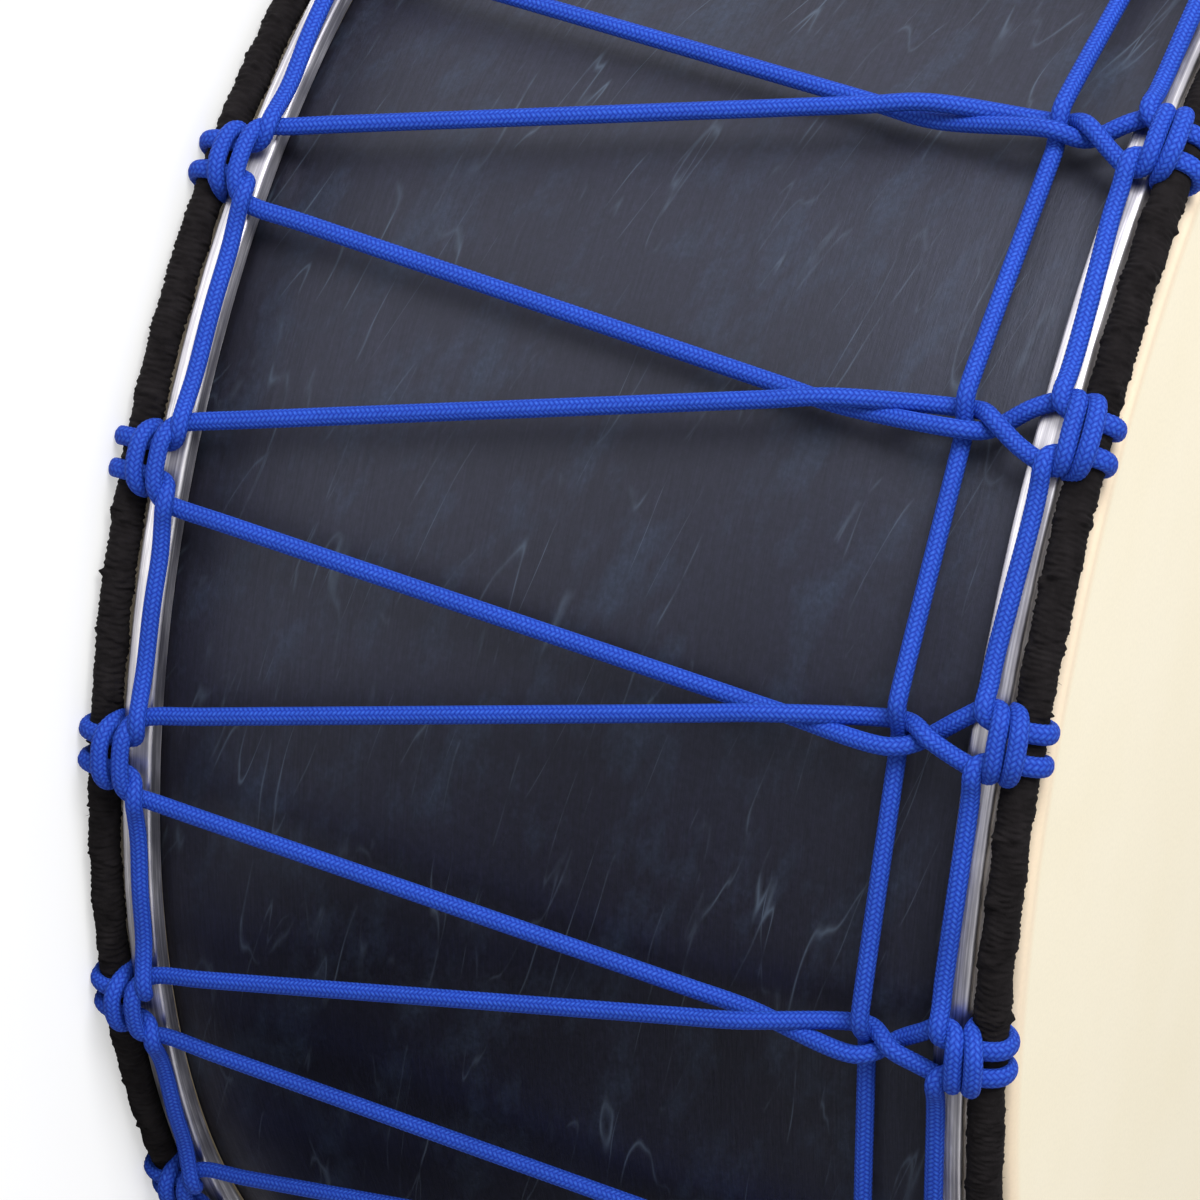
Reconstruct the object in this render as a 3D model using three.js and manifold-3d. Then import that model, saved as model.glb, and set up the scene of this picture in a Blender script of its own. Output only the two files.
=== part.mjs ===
// A two-headed rope-tensioned drum that stands on its lower rim. Millimetres, +Z up.
// The origin is on the surface it stands on, on the drum's axis.
// "Out" is the distance from the middle of a hoop toward the head at that end.
// "Run" is the distance along the rim from the middle of a knot.

import * as THREE from 'three';
import { mergeVertices } from 'three/addons/utils/BufferGeometryUtils.js';
import Module from 'manifold-3d';

const wasm = await Module();
wasm.setup();

// Driving sizes

const clearance = 0.3;

const shellOuterRadius = 266.4;
const shellWall = 9;
const bearingEdgeRadius = 2.6;
const bearingEdgeInset = 2.8;
const bevelFootOut = 2.5;

const skinThickness = 1.1;
const headFaceOut = 15.2;
const skinHem = 3.4;

const hoopThickness = 6.9;
const hoopWidth = 9.4;
const hoopEdgeRadius = 1;
const hoopSpacing = 252.8;

const ringInset = 1.4;
const ringGap = 2.95;
const rodRadius = 2.3;
const wrapThickness = 0.75;
const wrapSeamGap = 0.8;

const ropeDiameter = 5;
const knotCount = 20;
const lowerKnotShiftShare = 0.6227;

const weaveInset = 25;

const restingFlatDepth = 0.5;

// Counts

const roundSteps = 2 * knotCount;
const ropeSides = 5;
const ringSides = 6;
const cornerSteps = 1;
const bearingSteps = 2;

// Sizes worked out from the driving sizes

const pitch = 2 * Math.PI / knotCount;
const flatShare = Math.cos(Math.PI / roundSteps);
const ropeRadius = ropeDiameter / 2;
const shellInnerRadius = shellOuterRadius - shellWall;
const hoopInnerRadius = shellOuterRadius + clearance + skinThickness + clearance;
const hoopOuterRadius = hoopInnerRadius + hoopThickness;
const hoopHalf = hoopWidth / 2;
const wrapInnerRadius = rodRadius + clearance;
const wrapRadius = wrapInnerRadius + wrapThickness;
const ringRadius = hoopOuterRadius - ringInset;
const ringOut = hoopHalf + ringGap + wrapRadius;
const ringFlatRadius = ringRadius * flatShare;
const onHoop = hoopOuterRadius + clearance + ropeRadius;

// The rope is pressed a little where it goes round the ring, and more between ring and hoop.
// The ring and the rope's turn round it have the same corners, so their sides run parallel.
const ringPressShare = 0.8;
const ringTurnStep = 2 * Math.PI / ringSides;
const sideShare = Math.cos(ringTurnStep / 2);
const ringReach = wrapRadius + (clearance + ropeRadius * ringPressShare) / sideShare;
const nipThickness = ringOut - wrapRadius * sideShare - hoopHalf - 2 * clearance;
const nipShare = nipThickness / ropeDiameter;
const nipReach = wrapRadius + (clearance + nipThickness / 2) / sideShare;
const standReach = (ringReach + ropeRadius * ringPressShare) * sideShare;
const standOut = ringOut + standReach - restingFlatDepth;
const lowerHoopHeight = standOut;
const upperHoopHeight = lowerHoopHeight + hoopSpacing;

const upperEnd = { middle: upperHoopHeight, direction: 1, shift: 0 };
const lowerEnd = { middle: lowerHoopHeight, direction: -1, shift: lowerKnotShiftShare * pitch };

// Shared shapes

function arc(centreX, centreY, radius, fromAngle, toAngle, steps) {
  const points = [];
  for (let step = 0; step <= steps; step += 1) {
    const angle = fromAngle + (toAngle - fromAngle) * step / steps;
    points.push([centreX + radius * Math.cos(angle), centreY + radius * Math.sin(angle)]);
  }
  return points;
}

// Turns an outline of radius and height, listed anticlockwise, about the drum's axis.
function turned(outline, closed, shift = 0) {
  const points = outline.map(([radius, height]) => new THREE.Vector2(radius, height));
  if (closed) {
    points.push(points[0].clone());
  }
  const geometry = new THREE.LatheGeometry(points, roundSteps, shift + pitch / 4);
  geometry.rotateX(Math.PI / 2);
  return geometry;
}

// Places an outline of radius and out at one end of the drum, still anticlockwise.
function atEnd(outline, end) {
  const placed = outline.map(([radius, out]) => [radius, end.middle + end.direction * out]);
  return end.direction > 0 ? placed : placed.reverse();
}

function solidFrom(geometry) {
  const plain = geometry.clone();
  plain.deleteAttribute('normal');
  plain.deleteAttribute('uv');
  const merged = mergeVertices(plain);
  return new wasm.Manifold(new wasm.Mesh({
    numProp: 3,
    vertProperties: new Float32Array(merged.attributes.position.array),
    triVerts: new Uint32Array(merged.index.array),
  }));
}

function geometryFrom(solid) {
  const mesh = solid.getMesh();
  const geometry = new THREE.BufferGeometry();
  geometry.setAttribute('position', new THREE.BufferAttribute(mesh.vertProperties, 3));
  geometry.setIndex(new THREE.BufferAttribute(mesh.triVerts, 1));
  geometry.computeVertexNormals();
  return geometry;
}

// Shell: a bent-wood cylinder whose ends are bevelled to a rounded bearing edge

const bearingCentreRadius = shellInnerRadius + bearingEdgeInset;
const bearingCentreOut = headFaceOut - skinThickness - clearance - bearingEdgeRadius;

// Angle of the bevel's outward normal, where the bevel leaves the bearing edge's arc.
function bevelAngle() {
  const across = shellOuterRadius - bearingCentreRadius;
  const down = bearingCentreOut - bevelFootOut;
  const reach = Math.hypot(across, down);
  return Math.acos(bearingEdgeRadius / reach) - Math.atan2(down, across);
}

function bearingEdge(offset) {
  return arc(bearingCentreRadius, bearingCentreOut, bearingEdgeRadius + offset,
    bevelAngle(), Math.PI / 2, bearingSteps);
}

// The bend at the bevel's foot, moved out so that a skin over it keeps its thickness.
function bevelFoot(offset) {
  return [shellOuterRadius + offset, bevelFootOut + offset * Math.tan(bevelAngle() / 2)];
}

function shellGeometry() {
  const rim = [
    bevelFoot(0),
    ...bearingEdge(0),
    [shellInnerRadius, bearingCentreOut],
  ];
  const outline = [
    ...atEnd(rim, lowerEnd),
    ...atEnd(rim, upperEnd),
  ];
  return turned(outline, true);
}

// Heads: a flat skin that bends over the bearing edge and runs down inside the hoop

function headGeometry(end) {
  const inner = clearance;
  const outer = clearance + skinThickness;
  const outline = [
    [0, headFaceOut - skinThickness],
    ...bearingEdge(inner).reverse(),
    bevelFoot(inner),
    [shellOuterRadius + inner, -skinHem],
    [shellOuterRadius + outer, -skinHem],
    bevelFoot(outer),
    ...bearingEdge(outer),
    [0, headFaceOut],
  ];
  return turned(atEnd(outline, end), false);
}

// Hoops: steel bands round the skin's hem, with rounded edges

function hoopGeometry(end) {
  const inner = hoopInnerRadius + hoopEdgeRadius;
  const outer = hoopOuterRadius - hoopEdgeRadius;
  const side = hoopHalf - hoopEdgeRadius;
  const right = Math.PI / 2;
  const outline = [
    ...arc(outer, -side, hoopEdgeRadius, -right, 0, cornerSteps),
    ...arc(outer, side, hoopEdgeRadius, 0, right, cornerSteps),
    ...arc(inner, side, hoopEdgeRadius, right, Math.PI, cornerSteps),
    ...arc(inner, -side, hoopEdgeRadius, -Math.PI, -right, cornerSteps),
  ];
  return turned(atEnd(outline, end), true);
}

// Pull rings: a steel rod in a cloth wrap whose edges meet on the side of the skin

function rodGeometry(end) {
  const outline = arc(ringRadius, ringOut, rodRadius, 0, 2 * Math.PI, ringSides).slice(1);
  return turned(atEnd(outline, end), true, end.shift);
}

function wrapGeometry(end) {
  const ringPoint = (radius, angle) => [
    ringRadius + radius * Math.cos(angle),
    ringOut + radius * Math.sin(angle),
  ];
  const loop = (radius) => {
    const seamAngle = wrapSeamGap / (2 * radius);
    const lastCorner = Math.PI - ringTurnStep;
    return [
      ringPoint(radius, seamAngle - Math.PI),
      ...arc(ringRadius, ringOut, radius, -lastCorner, lastCorner, ringSides - 2),
      ringPoint(radius, Math.PI - seamAngle),
    ];
  };
  const outline = [...loop(wrapRadius), ...loop(wrapInnerRadius).reverse()];
  return turned(atEnd(outline, end), true, end.shift);
}

// Ropes: a closed list of stations. A pressed station also has the direction in which
// the rope is pressed, and the share of its thickness that is left.

function station(end, knot, run, radius, out, press = null) {
  const angle = knot * pitch + end.shift + run / hoopOuterRadius;
  const radial = new THREE.Vector3(Math.cos(angle), Math.sin(angle), 0);
  const place = radial.clone().multiplyScalar(radius);
  place.z = end.middle + end.direction * out;
  const pressed = press && {
    share: press.share,
    along: radial.clone().multiplyScalar(Math.cos(press.angle))
      .add(new THREE.Vector3(0, 0, end.direction * Math.sin(press.angle))),
  };
  return { place, pressed };
}

// Sections of the rope square to its run, carried round the closed route without twist.
function ropeSections(route) {
  const count = route.length;
  const tangents = route.map((_, index) => {
    const before = route[(index + count - 1) % count].place;
    const here = route[index].place;
    const after = route[(index + 1) % count].place;
    const arriving = here.clone().sub(before).normalize();
    const leaving = after.clone().sub(here).normalize();
    return arriving.add(leaving).normalize();
  });
  const carried = [new THREE.Vector3(route[0].place.x, route[0].place.y, 0).normalize()];
  for (let index = 1; index <= count; index += 1) {
    const turn = new THREE.Quaternion().setFromUnitVectors(
      tangents[index - 1], tangents[index % count]);
    carried.push(carried[index - 1].clone().applyQuaternion(turn));
  }
  const side = tangents[0].clone().cross(carried[0]);
  const leftover = Math.atan2(carried[count].dot(side), carried[count].dot(carried[0]));
  return route.map((stop, index) => {
    const correction = -leftover * index / count;
    const normal = carried[index].applyAxisAngle(tangents[index], correction);
    const across = tangents[index].clone().cross(normal);
    return { ...stop, tangent: tangents[index], normal, across };
  });
}

function pressOffset(offset, section) {
  if (!section.pressed) {
    return offset;
  }
  const { share, along } = section.pressed;
  const thin = along.clone().addScaledVector(section.tangent, -along.dot(section.tangent)).normalize();
  const wide = section.tangent.clone().cross(thin);
  const widening = 1 / Math.sqrt(share);
  const thinPart = offset.dot(thin);
  const widePart = offset.dot(wide);
  return offset.clone()
    .addScaledVector(thin, thinPart * (share - 1))
    .addScaledVector(wide, widePart * (widening - 1));
}

function ropeGeometry(route) {
  const sections = ropeSections(route);
  const positions = [];
  for (const section of sections) {
    for (let side = 0; side < ropeSides; side += 1) {
      const angle = 2 * Math.PI * side / ropeSides;
      const offset = section.normal.clone().multiplyScalar(ropeRadius * Math.cos(angle))
        .addScaledVector(section.across, ropeRadius * Math.sin(angle));
      positions.push(...section.place.clone().add(pressOffset(offset, section)).toArray());
    }
  }
  const index = [];
  for (let ring = 0; ring < sections.length; ring += 1) {
    const here = ring * ropeSides;
    const next = ((ring + 1) % sections.length) * ropeSides;
    for (let side = 0; side < ropeSides; side += 1) {
      const beside = (side + 1) % ropeSides;
      index.push(here + side, here + beside, next + beside);
      index.push(here + side, next + beside, next + side);
    }
  }
  const geometry = new THREE.BufferGeometry();
  geometry.setAttribute('position', new THREE.Float32BufferAttribute(positions, 3));
  geometry.setIndex(index);
  geometry.computeVertexNormals();
  return geometry;
}

// Cradle ropes: along the hoop from knot to knot, with a cow hitch on the ring at each knot.
// Each list holds run, lift off the hoop's face, and out.

const spanOut = -2.7;

const hitchApproach = [
  [22, 0, spanOut],
  [10.8, 6.4, -3.5],
  [6.2, 3.7, -3.5],
  [4.6, 0.1, 0.8],
];

const hitchBar = [
  [10, 0.6, 6.6],
  [7.6, 5.9, 7.5],
  [0, 7.1, 8.1],
];

// Run, corner of the ring from its outer side toward the head, and thickness share
const ringTurn = [
  [4.6, 0, ringPressShare],
  [4.6, 1, ringPressShare],
  [4.9, 2, ringPressShare],
  [6.4, 3, ringPressShare],
  [8.2, 4, nipShare],
  [9.6, 5, nipShare],
];

// Half of a hitch, from the hoop to the middle of the bar. The other half mirrors it.
function hitchHalf(end, knot, hand) {
  const onFace = ([run, lift, out]) => station(end, knot, hand * run, onHoop + lift, out);
  const onRing = ([run, corner, share]) => {
    const angle = corner * ringTurnStep;
    const reach = share === nipShare ? nipReach : ringReach;
    const radius = ringFlatRadius + reach * Math.cos(angle);
    return station(end, knot, hand * run, radius, ringOut + reach * Math.sin(angle), { share, angle });
  };
  return [...hitchApproach.map(onFace), ...ringTurn.map(onRing), ...hitchBar.map(onFace)];
}

function cradleRoute(end) {
  const route = [];
  for (let knot = 0; knot < knotCount; knot += 1) {
    route.push(station(end, knot - 1 / 2, 0, onHoop, spanOut));
    route.push(...hitchHalf(end, knot, -1));
    route.push(...hitchHalf(end, knot, 1).reverse().slice(1));
  }
  return route;
}

// The drum stands on the lower cradle rope, which is pressed flat there.
function flattenedBelow(geometry) {
  const size = 4 * hoopOuterRadius;
  const floor = new THREE.BoxGeometry(size, size, size);
  floor.translate(0, 0, -size / 2);
  return geometryFrom(solidFrom(geometry).subtract(solidFrom(floor)));
}

// Lacing rope: one zigzag from end to end, with a short bar over the cradle rope at each knot

const lacingBar = [
  [10.8, 0, -2.7],
  [10, 2.8, 1.7],
  [6.4, 5.8, 2.6],
];

// The legs at an upper knot cross, the weave rope passes between them, and they cross again.
// This is the upper leg. The lower one mirrors it, with its lift turned round.
const crossedLeg = [
  [10.3, 0, -6.5],
  [0, 2.9, -14.5],
  [-3.6, 0.6, -18.8],
  [-5.6, -3.2, -weaveInset],
  [0, 4, -58],
];

function lacingKnot(end, knot) {
  const half = hand => lacingBar.map(([run, lift, out]) => (
    station(end, knot, hand * run, onHoop + lift, out)));
  return [...half(-1), ...half(1).reverse()];
}

function lacingRoute() {
  const leg = (knot, hand) => crossedLeg.map(([run, lift, out]) => (
    station(upperEnd, knot, hand * run, onHoop + hand * lift, out)));
  const route = [];
  for (let knot = 0; knot < knotCount; knot += 1) {
    route.push(...leg(knot, -1).reverse());
    route.push(...lacingKnot(upperEnd, knot));
    route.push(...leg(knot, 1));
    route.push(...lacingKnot(lowerEnd, knot));
  }
  return route;
}

// Weave rope: round the drum, over one leg of each pair and under the other

const weavePass = [
  [-6, 3.4],
  [-4.2, 3.3],
  [4.2, -3.3],
  [6, -3.4],
];

function weaveRoute() {
  const route = [];
  for (let knot = 0; knot < knotCount; knot += 1) {
    route.push(...weavePass.map(([run, lift]) => (
      station(upperEnd, knot, run, onHoop + lift, -weaveInset))));
  }
  return route;
}

// Assembly

const stainedWood = { color: 0x23232d, roughness: 0.5, metalness: 0 };
const rawhide = { color: 0xfdf0d6, roughness: 0.62, metalness: 0 };
const polishedSteel = { color: 0xc4c0c6, roughness: 0.24, metalness: 1 };
const plainSteel = { color: 0x8a8a8c, roughness: 0.45, metalness: 1 };
const blackCloth = { color: 0x1d191c, roughness: 0.95, metalness: 0 };
const blueBraid = { color: 0x2f58c8, roughness: 0.6, metalness: 0 };

const drum = new THREE.Group();

function addPiece(name, geometry, finish) {
  const piece = new THREE.Mesh(geometry, new THREE.MeshStandardMaterial(finish));
  piece.name = name;
  drum.add(piece);
}

addPiece('shell', shellGeometry(), stainedWood);
addPiece('playing_head', headGeometry(upperEnd), rawhide);
addPiece('back_head', headGeometry(lowerEnd), rawhide);
addPiece('upper_hoop', hoopGeometry(upperEnd), polishedSteel);
addPiece('lower_hoop', hoopGeometry(lowerEnd), polishedSteel);
addPiece('upper_ring_rod', rodGeometry(upperEnd), plainSteel);
addPiece('lower_ring_rod', rodGeometry(lowerEnd), plainSteel);
addPiece('upper_ring_wrap', wrapGeometry(upperEnd), blackCloth);
addPiece('lower_ring_wrap', wrapGeometry(lowerEnd), blackCloth);
addPiece('upper_cradle_rope', ropeGeometry(cradleRoute(upperEnd)), blueBraid);
addPiece('lower_cradle_rope', flattenedBelow(ropeGeometry(cradleRoute(lowerEnd))), blueBraid);
addPiece('lacing_rope', ropeGeometry(lacingRoute()), blueBraid);
addPiece('weave_rope', ropeGeometry(weaveRoute()), blueBraid);

export default drum;
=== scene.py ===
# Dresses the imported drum: braided ropes, brushed hoops, cloth-wrapped rings, skins and stained wood.
# Lengths are in millimetres up to the point where a mesh or a place is handed to Blender,
# apart from the camera, the floor and the light, which are placed in metres.
# "Out" is the distance from the middle of a hoop toward the head at that end.
# "Run" is the distance along the rim from the middle of a knot.

import math
from collections import namedtuple
from types import SimpleNamespace

import bpy
import numpy as np
from mathutils import Matrix, Vector


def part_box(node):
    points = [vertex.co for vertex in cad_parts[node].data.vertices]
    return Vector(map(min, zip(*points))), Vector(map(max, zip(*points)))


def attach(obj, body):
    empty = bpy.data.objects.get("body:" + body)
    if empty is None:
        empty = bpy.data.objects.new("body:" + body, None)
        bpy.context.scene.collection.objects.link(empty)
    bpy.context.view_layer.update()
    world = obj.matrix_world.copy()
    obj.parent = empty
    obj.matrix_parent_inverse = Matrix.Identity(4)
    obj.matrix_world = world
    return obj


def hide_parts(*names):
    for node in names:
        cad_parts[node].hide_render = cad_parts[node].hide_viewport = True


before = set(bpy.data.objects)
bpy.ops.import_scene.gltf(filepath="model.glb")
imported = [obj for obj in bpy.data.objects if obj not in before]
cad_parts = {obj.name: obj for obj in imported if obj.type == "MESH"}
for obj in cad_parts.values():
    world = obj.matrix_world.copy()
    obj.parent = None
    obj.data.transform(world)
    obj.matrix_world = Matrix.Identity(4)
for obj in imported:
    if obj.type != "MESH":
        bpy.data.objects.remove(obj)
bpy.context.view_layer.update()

MM = 0.001
TURN = 2 * math.pi
QUARTER = math.pi / 2

# Sizes read from the frame, and the count of knots, which sets the CAD's facets too

KNOTS = 20
PITCH = TURN / KNOTS
LOWER_SHIFT_SHARE = 0.6227
FACETS = 2 * KNOTS
FACET_SHARE = math.cos(math.pi / FACETS)


def node_box(node):
    """A CAD node's lowest and highest corners, in millimetres."""
    return [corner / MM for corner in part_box(node)]


def node_middle(node):
    low, high = node_box(node)
    return (low.z + high.z) / 2


def node_radius(node):
    """The true radius of a turned node, whose flats lie a little inside it."""
    return node_box(node)[1].x / FACET_SHARE


UPPER = SimpleNamespace(name="upper", middle=node_middle("upper_hoop"), direction=1, shift=0)
LOWER = SimpleNamespace(name="lower", middle=node_middle("lower_hoop"), direction=-1,
                        shift=LOWER_SHIFT_SHARE * PITCH)
HOOP_RADIUS = node_radius("upper_hoop")
HOOP_HALF = node_box("upper_hoop")[1].z - UPPER.middle
SHELL_RADIUS = node_radius("shell")
HEAD_FACE_OUT = node_box("playing_head")[1].z - UPPER.middle
SKIN_HEM = UPPER.middle - node_box("playing_head")[0].z
RING_OUT = node_middle("upper_ring_rod") - UPPER.middle

# Other sizes, as in the part's source

CLEARANCE = 0.3
SHELL_WALL = 9
SHELL_INNER_RADIUS = SHELL_RADIUS - SHELL_WALL
BEARING_RADIUS = 2.6
BEARING_INSET = 2.8
BEVEL_FOOT_OUT = 2.5
SKIN = 1.1
HOOP_EDGE_RADIUS = 1
HOOP_INNER_RADIUS = SHELL_RADIUS + CLEARANCE + SKIN + CLEARANCE
RING_RADIUS = 273.6
ROPE_RADIUS = 2.5
ON_HOOP = HOOP_RADIUS + CLEARANCE + ROPE_RADIUS
WEAVE_INSET = 23.6

# Sizes of the looks

WRAP_RADIUS = {"upper": 4.9, "lower": 4.5}
BRAID_PITCH = 1.5
BRAID_COLUMNS = 10
BRAID_RELIEF = 0.1
SPIN_STEPS = 720
SHARP_ANGLE = math.radians(50)

rng = np.random.default_rng(11)


# Meshes


def make_piece(name, points, faces, material, node, uvs=None):
    """A smooth mesh piece that stands for a CAD node. points are in millimetres, uvs one per corner."""
    mesh = bpy.data.meshes.new(name)
    mesh.from_pydata((np.asarray(points) * MM).tolist(), [], faces)
    if uvs is not None:
        layer = mesh.uv_layers.new(name="Run")
        layer.data.foreach_set("uv", np.asarray(uvs, dtype=np.float32).ravel())
    mesh.shade_smooth()
    mesh.materials.append(material)
    piece = bpy.data.objects.new(name, mesh)
    bpy.context.scene.collection.objects.link(piece)
    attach(piece, "root")
    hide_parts(node)
    return piece


def arc(centre, radius, start, end, steps):
    """Points on an arc, from one angle to another."""
    return [(centre[0] + radius * math.cos(angle), centre[1] + radius * math.sin(angle))
            for angle in np.linspace(start, end, steps + 1)]


def at_end(outline, end):
    """Turns radius and out into radius and height, still listed anticlockwise."""
    placed = [(radius, end.middle + end.direction * out) for radius, out in outline]
    return placed if end.direction > 0 else placed[::-1]


def grid_faces(rows, columns, wrap_columns=True):
    """Quads of a grid whose rows close on themselves, and whose columns may too."""
    row = np.arange(rows)[:, None]
    last = columns if wrap_columns else columns - 1
    column = np.arange(last)[None, :]
    next_row = (row + 1) % rows
    next_column = (column + 1) % columns
    corners = [
        row * columns + column,
        next_row * columns + column,
        next_row * columns + next_column,
        row * columns + next_column,
    ]
    return np.stack(np.broadcast_arrays(*corners), axis=-1).reshape(-1, 4).tolist()


def turned(name, outline, closed, material, node):
    """Turns an outline of radius and height, listed anticlockwise, about the drum's axis."""
    outline = np.array(outline)
    angles = np.arange(SPIN_STEPS) * TURN / SPIN_STEPS
    points = np.stack([
        np.outer(np.cos(angles), outline[:, 0]),
        np.outer(np.sin(angles), outline[:, 0]),
        np.broadcast_to(outline[:, 1], (SPIN_STEPS, len(outline))),
    ], axis=-1).reshape(-1, 3)
    faces = grid_faces(SPIN_STEPS, len(outline), closed)
    piece = make_piece(name, points, faces, material, node)
    piece.data.set_sharp_from_angle(angle=SHARP_ANGLE)
    return piece


# Node trees


class Shader:
    """A material and short ways to add nodes to it."""

    def __init__(self, name):
        self.material = bpy.data.materials.new(name)
        self.material.use_nodes = True
        self.tree = self.material.node_tree
        self.surface = self.tree.nodes["Principled BSDF"]

    def add(self, kind, inputs=None, **settings):
        """Adds a node. inputs maps socket names or numbers to sockets or values."""
        node = self.tree.nodes.new("ShaderNode" + kind)
        for key, value in settings.items():
            setattr(node, key, value)
        for key, value in (inputs or {}).items():
            self.join(value, node.inputs[key])
        return node

    def join(self, value, socket):
        if isinstance(value, bpy.types.NodeSocket):
            self.tree.links.new(value, socket)
        else:
            socket.default_value = value

    def math(self, operation, *values):
        return self.add("Math", dict(enumerate(values)), operation=operation).outputs[0]

    def place(self):
        """The object's own coordinates, in metres."""
        return self.add("TexCoord").outputs["Object"]

    def parts(self, vector):
        """A vector's X, Y and Z sockets."""
        return self.add("SeparateXYZ", {"Vector": vector}).outputs

    def axis_distance(self):
        """The distance from the drum's axis, in metres."""
        flat = self.add("VectorMath", {0: self.place(), 1: (1, 1, 0)}, operation="MULTIPLY")
        return self.add("VectorMath", {0: flat.outputs["Vector"]}, operation="LENGTH").outputs["Value"]

    def noise(self, vector, detail=2.0, roughness=0.5):
        return self.add("TexNoise", {
            "Vector": vector,
            "Scale": 1.0,
            "Detail": detail,
            "Roughness": roughness,
        }).outputs["Fac"]

    def grain(self, cells, detail=2.0, roughness=0.5):
        """Noise with so many cells to the metre along X, Y and Z."""
        scaled = self.add("Mapping", {"Vector": self.place(), "Scale": cells}).outputs["Vector"]
        return self.noise(scaled, detail, roughness)

    def ramp(self, value, *stops):
        """A colour ramp. Each stop is a place from 0 to 1 and a colour or a grey level."""
        node = self.add("ValToRGB", {"Fac": value})
        elements = node.color_ramp.elements
        while len(elements) < len(stops):
            elements.new(1.0)
        for element, (place, colour) in zip(elements, stops):
            element.position = place
            grey = isinstance(colour, (int, float))
            element.color = (colour, colour, colour, 1) if grey else (*colour, 1)
        return node.outputs["Color"]

    def mix(self, share, first, second, blend="MIX"):
        """Mixes two colours, each a socket or a colour's red, green and blue."""
        node = self.add("Mix", data_type="RGBA", blend_type=blend)
        self.join(share, node.inputs["Factor"])
        for key, colour in (("A", first), ("B", second)):
            self.join((*colour, 1) if isinstance(colour, tuple) else colour, node.inputs[key])
        return node.outputs["Result"]

    def bump(self, height, relief, strength):
        """A normal from a height whose whole range is a relief in millimetres."""
        return self.add("Bump", {
            "Height": height,
            "Distance": relief * MM,
            "Strength": strength,
        }).outputs["Normal"]

    def finish(self, **sockets):
        """Sets the surface's sockets. Underscores in a name stand for spaces."""
        for key, value in sockets.items():
            self.join(value, self.surface.inputs[key.replace("_", " ")])
        return self.material


# Materials: cells of noise are counted to the metre, reliefs are in millimetres

WOOD_DARK = (0.0055, 0.0050, 0.0100)
WOOD_LIGHT = (0.0080, 0.0080, 0.0165)
WOOD_SHEEN = (0.74, 0.79, 1.0, 1.0)
GRAIN_SHARE = 0.8
FIBRE_SHARE = 0.5
PIT_SHARE = 0.7
VEIN_COLOUR = (0.075, 0.10, 0.14)
VEIN_SHARE = 0.7
VEIN_CELLS_ALONG = 6.0
SMEAR_COLOUR = (0.026, 0.042, 0.075)
SMEAR_SHARE = 0.55
SMEAR_CELLS = (22.0, 45.0)
SMEAR_SLANT = 0.3
WOOD_RELIEF = 0.12


def stained_wood():
    """Dark wood whose grain runs along the rim, with fine pale veins and blue smears."""
    shader = Shader("stained_wood")
    grain = shader.grain((60, 60, 1500), detail=4.0, roughness=0.65)
    fibre = shader.grain((150, 150, 5200), detail=2.0, roughness=0.6)
    patch = shader.grain((9, 9, 16), detail=3.0, roughness=0.55)
    pits = shader.grain((520, 520, 620), detail=3.0, roughness=0.65)
    base = shader.ramp(patch, (0.32, WOOD_DARK), (0.7, WOOD_LIGHT))
    streaked = shader.mix(GRAIN_SHARE, base, shader.ramp(grain, (0.3, 0.45), (0.75, 1.5)), "MULTIPLY")

    place = shader.parts(shader.place())
    front = shader.math("MULTIPLY", place["Y"], -1.0)
    run = shader.math("MULTIPLY", shader.math("ARCTAN2", place["X"], front), SHELL_RADIUS * MM)

    def on_veneer(run_slant, height_slant, cells):
        """Run and height on the unrolled shell, each slanted toward the other."""
        along = shader.math("ADD", run, shader.math("MULTIPLY", place["Z"], height_slant))
        across = shader.math("ADD", place["Z"], shader.math("MULTIPLY", run, run_slant))
        return shader.add("CombineXYZ", {
            "X": shader.math("MULTIPLY", along, cells[0]),
            "Y": shader.math("MULTIPLY", across, cells[1]),
        }).outputs[0]

    def veins(slant, cells_across, level):
        """Thin broken lines that slant away from the run, like figure in the veneer."""
        plane = on_veneer(slant, -slant, (VEIN_CELLS_ALONG, cells_across))
        figure = shader.noise(plane, detail=2.5, roughness=0.42)
        ridge = shader.math("ABSOLUTE", shader.math("SUBTRACT", figure, level))
        line = shader.ramp(ridge, (0.0, 1.0), (0.003, 0.4), (0.008, 0.0))
        broken = shader.grain((30, 30, 45), detail=3.0, roughness=0.6)
        return shader.math("MULTIPLY", line, shader.ramp(broken, (0.47, 0.0), (0.68, 1.0)))

    vein = shader.math("MAXIMUM", veins(0.3, 60.0, 0.52), veins(0.22, 36.0, 0.47))
    clouds = shader.noise(on_veneer(SMEAR_SLANT, 0, SMEAR_CELLS), detail=5.0, roughness=0.7)
    smear = shader.ramp(clouds, (0.5, 0.0), (0.78, 1.0))
    smeared = shader.mix(shader.math("MULTIPLY", smear, SMEAR_SHARE), streaked, SMEAR_COLOUR)
    pitted = shader.mix(PIT_SHARE, smeared, shader.ramp(pits, (0.35, 0.55), (0.7, 1.5)), "MULTIPLY")
    veined = shader.mix(shader.math("MULTIPLY", vein, VEIN_SHARE), pitted, VEIN_COLOUR)
    fibrous = shader.math("ADD", grain, shader.math("MULTIPLY", fibre, FIBRE_SHARE))
    height = shader.math("ADD", fibrous, pits)
    return shader.finish(
        Base_Color=veined,
        Roughness=shader.ramp(grain, (0.3, 0.56), (0.8, 0.42)),
        Specular_IOR_Level=0.45,
        Specular_Tint=WOOD_SHEEN,
        Normal=shader.bump(height, WOOD_RELIEF, 0.5),
    )


SKIN_DARK = (0.94, 0.855, 0.66)
SKIN_LIGHT = (0.96, 0.88, 0.70)
PORE_SHARE = 0.08
PORE_RELIEF = 0.06
# How far the edge of the painted shade at the bend wanders, in millimetres
BEND_SHADE_WANDER = 4


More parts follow.
